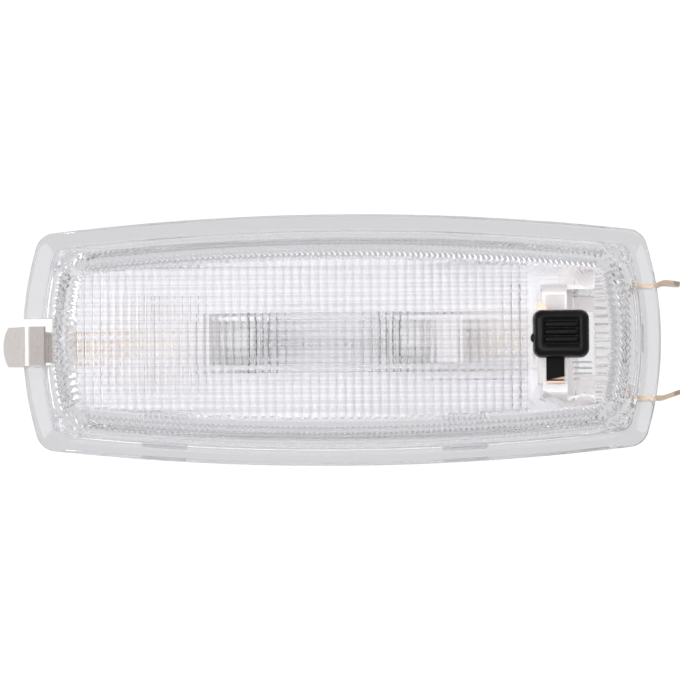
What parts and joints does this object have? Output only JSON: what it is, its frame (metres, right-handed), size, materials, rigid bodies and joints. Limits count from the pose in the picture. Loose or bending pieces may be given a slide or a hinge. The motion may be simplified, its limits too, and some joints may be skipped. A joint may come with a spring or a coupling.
{
  "type": "car interior light",
  "caption": "Snap-in car interior light: clear ribbed lens body with a wide flange, sprung steel clip, slide switch, festoon bulb, sheet reflector and blade terminals",
  "frame": {"origin": "middle of the overall box at its lowest plane, which is the reflector's flat back, on which the light lies", "axes": "+Z towards the lens face, +X along the lamp from the spring clip to the blade terminals, +Y across it, towards the live terminal"},
  "size_m": [0.1217, 0.045, 0.0212],
  "materials": {
    "clear_lens": "clear moulded plastic, polished outside, fluted inside",
    "reflector_sheet": "bright plated sheet",
    "spring_steel": "plated spring steel",
    "rivet_brass": "plain brass",
    "copper_strip": "copper alloy strip",
    "brass_strip": "brass strip",
    "terminal_brass": "brass with a worn tin coat",
    "pale_insulator": "natural moulded plastic",
    "bulb_glass": "clear glass",
    "bulb_caps": "nickel-plated caps",
    "lead_wires": "plain wire",
    "filament": "dull tungsten coil",
    "black_knob": "black plastic with a soft sheen",
    "black_carrier": "black moulded plastic"
  },
  "bodies": {
    "housing": {"lens_body": "clear_lens", "reflector": "reflector_sheet", "spring_clip": "spring_steel", "clip_rivet": "rivet_brass", "earth_holder": "copper_strip", "holder_rivet": "rivet_brass", "switch_base": "pale_insulator", "feed_strip": "brass_strip", "feed_rivet": "rivet_brass", "live_terminal": "terminal_brass", "door_terminal": "terminal_brass", "bulb_glass": "bulb_glass", "bulb_cap_left": "bulb_caps", "bulb_cap_right": "bulb_caps", "lead_wire_left": "lead_wires", "lead_wire_right": "lead_wires", "bulb_filament": "filament"},
    "slider": {"switch_knob": "black_knob", "switch_carrier": "black_carrier", "bridge_contact": "copper_strip"}
  },
  "joints": [
    {"name": "switch_slide", "type": "slide", "parent": "housing", "child": "slider", "axis": [0, 1, 0], "range_m": [-0.003, 0.003]}
  ]
}
